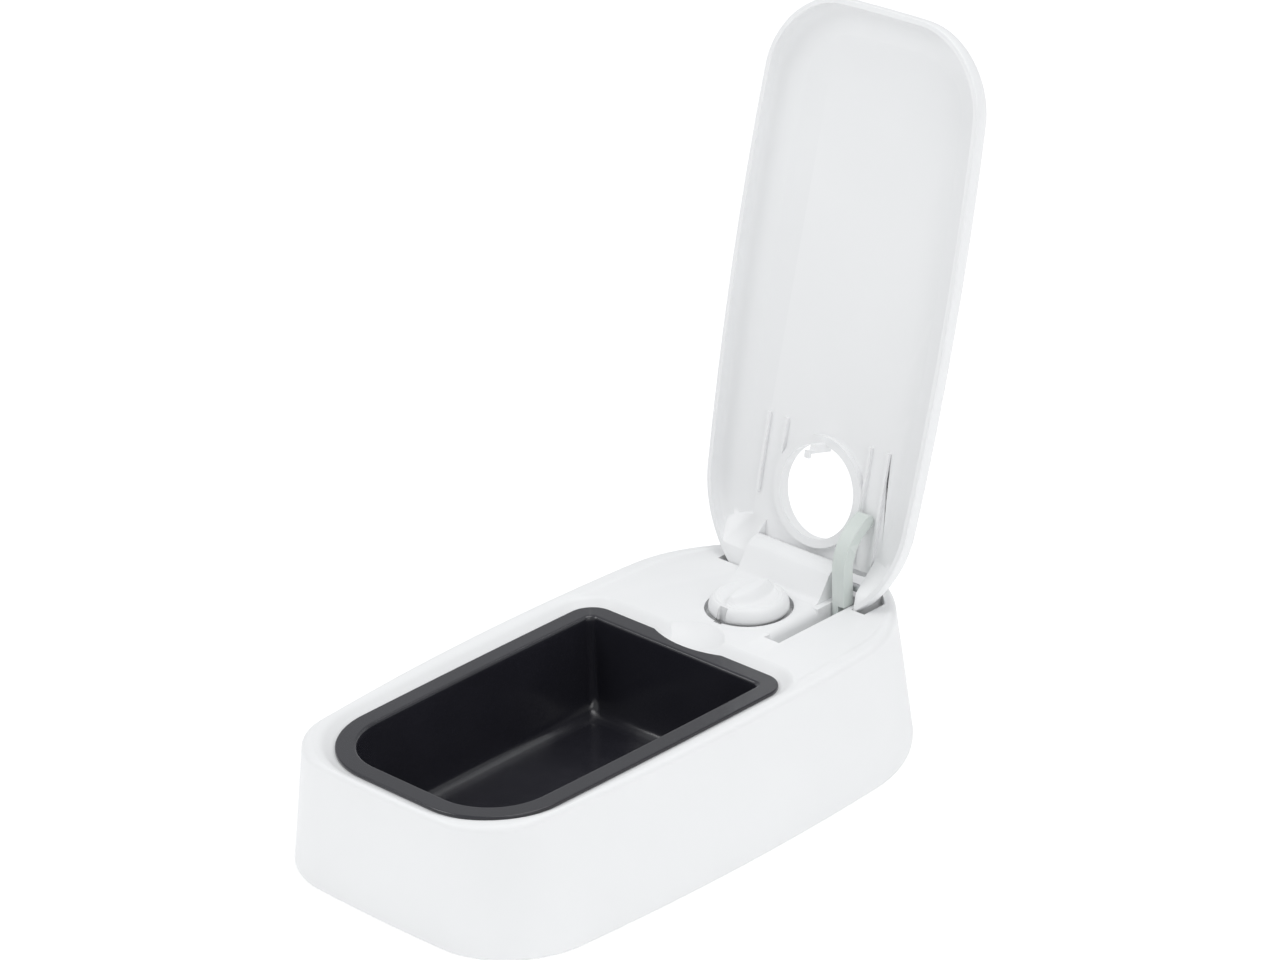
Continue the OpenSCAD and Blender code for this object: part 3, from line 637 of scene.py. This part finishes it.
def knob_height(x, y):
    """Top of the knob: a shallow dish with fine turned lines, and a lens-shaped grip standing on it."""
    r = math.hypot(x, y)
    reach = max(r - KNOB_R + SHOULDER, 0) / SHOULDER
    z = CAP_TOP - CAP_DROP * (1 - math.sqrt(max(1 - reach ** 2, 0)))
    z -= 0.9 * (1 - step((r - 5) / 7))
    for line in (10.4, 11.3, 12.3):
        z -= 0.16 * math.exp(-((r - line) / 0.16) ** 2)
    half_width = GRIP_HW * (1 - (y / GRIP_HL) ** 2)
    rise = step((half_width + 2 - abs(x)) / 4.4) * step((GRIP_HL + 0.4 - abs(y)) / 4)
    crown = 0.5 * (x / GRIP_HW) ** 2 + 0.3 * (y / GRIP_HL) ** 2
    return z + rise * max(GRIP_TOP - crown - z, 0)


def knob():
    """Cap and grip on a neck, with a notch for the lid's hook and a socket for the spindle."""
    cx, cy = KNOB_AXIS.x, KNOB_AXIS.y
    steps = 256
    radii = [KNOB_R * math.sin(math.radians(90 * k / 96)) for k in range(1, 97)]
    bm = bmesh.new()
    centre = bm.verts.new((cx, cy, knob_height(0, 0)))
    rows = []
    for r in radii:
        ring = [(cx + x, cy + y, knob_height(x, y)) for x, y in circle(0, 0, r, steps)]
        rows.append([bm.verts.new(p) for p in ring])
    for r, z in ((KNOB_R, CAP_Z + 0.3), (KNOB_R - 0.3, CAP_Z), (NECK_R, CAP_Z), (NECK_R, WELL_Z + 1)):
        rows.append([bm.verts.new(p) for p in at(circle(cx, cy, r, steps), z)])
    for i in range(steps):
        bm.faces.new((centre, rows[0][i], rows[0][(i + 1) % steps]))
    bridge(bm, rows)
    bm.faces.new(rows[-1])
    body = new_object("knob_body", bm)
    notch = box("notch", (cx - 1.8, cy - KNOB_R - 1, CAP_Z - 1), (cx + 1.8, cy - NECK_R, CAP_TOP + 1))
    socket = drum("socket", cx, cy, WELL_Z, WELL_Z + 4.5, 3.02, 48)
    cut(body, notch, socket)
    return soften(body, 0)


# ---- Opening lever ----
LEVER_LEFT = 21
LEVER_RIGHT = 26.6
FLANK_RIGHT = LEVER_LEFT + 2.6
# centre, middle radius, half thickness and end angle of the arm's bend
LEVER_BEND = (105.4, DECK_Z + 12.1)
LEVER_BEND_R = 17.6
LEVER_HALF = 2.4
LEVER_END = 110


def lever_side(foot_z):
    """Outline of the arm from its foot, round the bend to its rounded nose."""
    cy, cz = LEVER_BEND
    inner_r = LEVER_BEND_R - LEVER_HALF
    outer_r = LEVER_BEND_R + LEVER_HALF
    inner = [(cy - LEVER_BEND_R + LEVER_HALF, foot_z)]
    outer = [(cy - LEVER_BEND_R - LEVER_HALF, foot_z)]
    for k in range(33):
        a = math.radians(180 - (180 - LEVER_END) * k / 32)
        inner.append((cy + inner_r * math.cos(a), cz + inner_r * math.sin(a)))
        outer.append((cy + outer_r * math.cos(a), cz + outer_r * math.sin(a)))
    end = math.radians(LEVER_END)
    nose = Vector((cy + LEVER_BEND_R * math.cos(end), cz + LEVER_BEND_R * math.sin(end)))
    tip = []
    for k in range(1, 16):
        b = end + math.pi + math.pi * k / 16
        tip.append((nose.x + LEVER_HALF * math.cos(b), nose.y + LEVER_HALF * math.sin(b)))
    return inner + tip + outer[::-1]


def lever():
    """Arm that bends over towards the lid, with its hub beside the spring."""
    body = prism_x("lever_body", LEVER_LEFT, LEVER_RIGHT, lever_side(PIVOT.z + 4.4))
    join(body, prism_x("flank", LEVER_LEFT, FLANK_RIGHT, lever_side(PIVOT.z)))
    join(body, rod_x("hub", LEVER_LEFT, FLANK_RIGHT, PIVOT.y, PIVOT.z, 3.4))
    cut(body, rod_x("bore", LEVER_LEFT - 1, LEVER_RIGHT + 1, PIVOT.y, PIVOT.z, HUB_BORE_R, 48))
    return soften(body, 0.5, segments=3)


# ---- Materials ----
def noise(tree, place, size_mm, detail):
    """Noise with grains of about size_mm, fixed to the object."""
    tex = tree.nodes.new("ShaderNodeTexNoise")
    tex.inputs["Scale"].default_value = 1000 / size_mm
    tex.inputs["Detail"].default_value = detail
    tree.links.new(place.outputs["Object"], tex.inputs["Vector"])
    return tex.outputs["Fac"]


def spread(tree, source, low, high, source_low=0.3, source_high=0.7):
    """Stretches the source's middle band over low to high."""
    scale = tree.nodes.new("ShaderNodeMapRange")
    scale.inputs["To Min"].default_value = low
    scale.inputs["To Max"].default_value = high
    scale.inputs["From Min"].default_value = source_low
    scale.inputs["From Max"].default_value = source_high
    tree.links.new(source, scale.inputs["Value"])
    return scale.outputs["Result"]


def mix(tree, factor, a, b):
    """Blends two colours, each a tuple or another node's output."""
    blend = tree.nodes.new("ShaderNodeMix")
    blend.data_type = "RGBA"
    tree.links.new(factor, blend.inputs["Factor"])
    for socket, value in ((blend.inputs["A"], a), (blend.inputs["B"], b)):
        if isinstance(value, tuple):
            socket.default_value = (*value, 1)
        else:
            tree.links.new(value, socket)
    return blend.outputs["Result"]


def plastic(name, colour, rough, grain=0.25, bump=0.02, mottle=0.02, coat=0.0, wear_and_highlight=0.05, metallic=0.0):
    """Moulded surface: fine grain in mm, faint cloudiness in colour and gloss, and paler edges, partly rubbed wear
    and partly painted edge highlight.
    """
    mat = bpy.data.materials.new(name)
    mat.use_nodes = True
    tree = mat.node_tree
    shader = tree.nodes["Principled BSDF"]
    shader.inputs["Metallic"].default_value = metallic
    shader.inputs["Coat Weight"].default_value = coat
    shader.inputs["Coat Roughness"].default_value = 0.12
    place = tree.nodes.new("ShaderNodeTexCoord")
    dark = tuple(c * (1 - mottle) for c in colour)
    light = tuple(min(c * (1 + mottle), 1) for c in colour)
    clouds = mix(tree, spread(tree, noise(tree, place, 38, 4), 0, 1), dark, light)
    geometry = tree.nodes.new("ShaderNodeNewGeometry")
    # convex edges are painted paler towards white: partly rubbed wear, partly a painted highlight along the edges
    edges = spread(tree, geometry.outputs["Pointiness"], 0, wear_and_highlight, 0.53, 0.68)
    rubbed_and_highlit = tuple(c + (1 - c) * 0.6 for c in colour)
    tree.links.new(mix(tree, edges, clouds, rubbed_and_highlit), shader.inputs["Base Color"])
    gloss = spread(tree, noise(tree, place, 9, 5), rough - 0.05, rough + 0.05)
    tree.links.new(gloss, shader.inputs["Roughness"])
    relief = tree.nodes.new("ShaderNodeBump")
    relief.inputs["Strength"].default_value = 1
    relief.inputs["Distance"].default_value = bump * MM
    tree.links.new(noise(tree, place, grain, 3), relief.inputs["Height"])
    tree.links.new(relief.outputs["Normal"], shader.inputs["Normal"])
    return mat


LOOKS = {
    "white_plastic": plastic("white_plastic", (0.86, 0.865, 0.87), 0.46, coat=0.06, mottle=0.008, wear_and_highlight=0.25),
    "grey_plastic": plastic("grey_plastic", (0.74, 0.75, 0.76), 0.5, mottle=0.02, wear_and_highlight=0.1),
    "bowl_plastic": plastic(
        "bowl_plastic", (0.018, 0.018, 0.024), 0.22, grain=0.6, bump=0.004, coat=0.3, mottle=0.1,
    ),
    "lever_plastic": plastic("lever_plastic", (0.67, 0.72, 0.69), 0.4, mottle=0.02, wear_and_highlight=0.3),
    "dark_plastic": plastic("dark_plastic", (0.05, 0.055, 0.065), 0.5, mottle=0.06),
    "gear_plastic": plastic("gear_plastic", (0.80, 0.77, 0.62), 0.45, mottle=0.03),
    "rubber": plastic("rubber", (0.03, 0.03, 0.032), 0.75, grain=0.4, bump=0.05, mottle=0.1),
    "steel": plastic("steel", (0.62, 0.62, 0.64), 0.28, grain=0.5, bump=0.006, metallic=1, wear_and_highlight=0.2),
    "copper": plastic("copper", (0.62, 0.28, 0.1), 0.35, grain=0.3, bump=0.02, metallic=0.7, mottle=0.1),
    "circuit": plastic("circuit", (0.02, 0.16, 0.06), 0.4, mottle=0.08),
    "cell": plastic("cell", (0.2, 0.23, 0.2), 0.35, mottle=0.04, metallic=0.2),
}

SLOTS = {part["node"]: part["material_slot"] for part in frame["record"]["subparts"]}
for node, obj in NODES.items():
    obj.data.materials.clear()
    obj.data.materials.append(LOOKS[SLOTS[node]])

PIECES = [
    (housing(), "base", "base_housing"),
    (bowl(), "base", "bowl"),
    (lid(), "lid", "lid"),
    (knob(), "knob", "timer_knob"),
    (lever(), "lever", "lever_arm"),
]
for piece, body, node in PIECES:
    finish_piece(piece, body, SLOTS[node], LOOKS[SLOTS[node]], node)


# ---- Floor, light and camera, in metres ----
AIM = (0, 0, 0.08)


def floor():
    bm = bmesh.new()
    bmesh.ops.create_grid(bm, x_segments=8, y_segments=8, size=12)
    mesh = bpy.data.meshes.new("floor")
    bm.to_mesh(mesh)
    bm.free()
    obj = bpy.data.objects.new("floor", mesh)
    bpy.context.scene.collection.objects.link(obj)
    mat = plastic("floor_paper", (0.93, 0.93, 0.93), 0.8, grain=2, bump=0.01, mottle=0.004, wear_and_highlight=0)
    shader = mat.node_tree.nodes["Principled BSDF"]
    shader.inputs["Emission Color"].default_value = (1, 1, 1, 1)
    shader.inputs["Emission Strength"].default_value = 0.22
    mesh.materials.append(mat)


def area_light(name, place, size, watts):
    """Round soft light that faces the object."""
    data = bpy.data.lights.new(name, "AREA")
    data.shape = "DISK"
    data.size = size
    data.energy = watts
    obj = bpy.data.objects.new(name, data)
    obj.location = place
    obj.rotation_euler = (Vector(AIM) - Vector(place)).to_track_quat("-Z", "Y").to_euler()
    bpy.context.scene.collection.objects.link(obj)


def studio():
    floor()
    area_light("key", (-1.3, -1.5, 2.2), 1.4, 18)
    area_light("top", (0.3, 0.6, 2.6), 2.0, 21)
    area_light("side", (2.2, -0.6, 1.2), 1.6, 9.5)
    world = bpy.data.worlds.new("studio")
    world.use_nodes = True
    world.node_tree.nodes["Background"].inputs["Color"].default_value = (0.97, 0.985, 1, 1)
    world.node_tree.nodes["Background"].inputs["Strength"].default_value = 0.57
    bpy.context.scene.world = world
    bpy.context.scene.view_settings.view_transform = "Standard"


def camera():
    """Camera at 45 degrees round from the bowl end and 25 degrees up, tilted 2 degrees."""
    azimuth, elevation, roll = math.radians(44.9), math.radians(25.1), math.radians(-2.04)
    distance = 1.6601
    back = Vector((
        math.cos(elevation) * math.sin(azimuth),
        -math.cos(elevation) * math.cos(azimuth),
        math.sin(elevation),
    ))
    level = Vector((math.cos(azimuth), math.sin(azimuth), 0))
    rise = back.cross(level)
    right = level * math.cos(roll) + rise * math.sin(roll)
    up = rise * math.cos(roll) - level * math.sin(roll)
    target = Vector(AIM) + right * 0.0061 + up * 0.036
    data = bpy.data.cameras.new("camera")
    data.lens = 135.8
    data.sensor_width = 36
    data.shift_x = 0.0023
    obj = bpy.data.objects.new("camera", data)
    turn = Matrix((right, up, back)).transposed().to_4x4()
    obj.matrix_world = Matrix.Translation(target + back * distance) @ turn
    bpy.context.scene.collection.objects.link(obj)
    bpy.context.scene.camera = obj


studio()
camera()
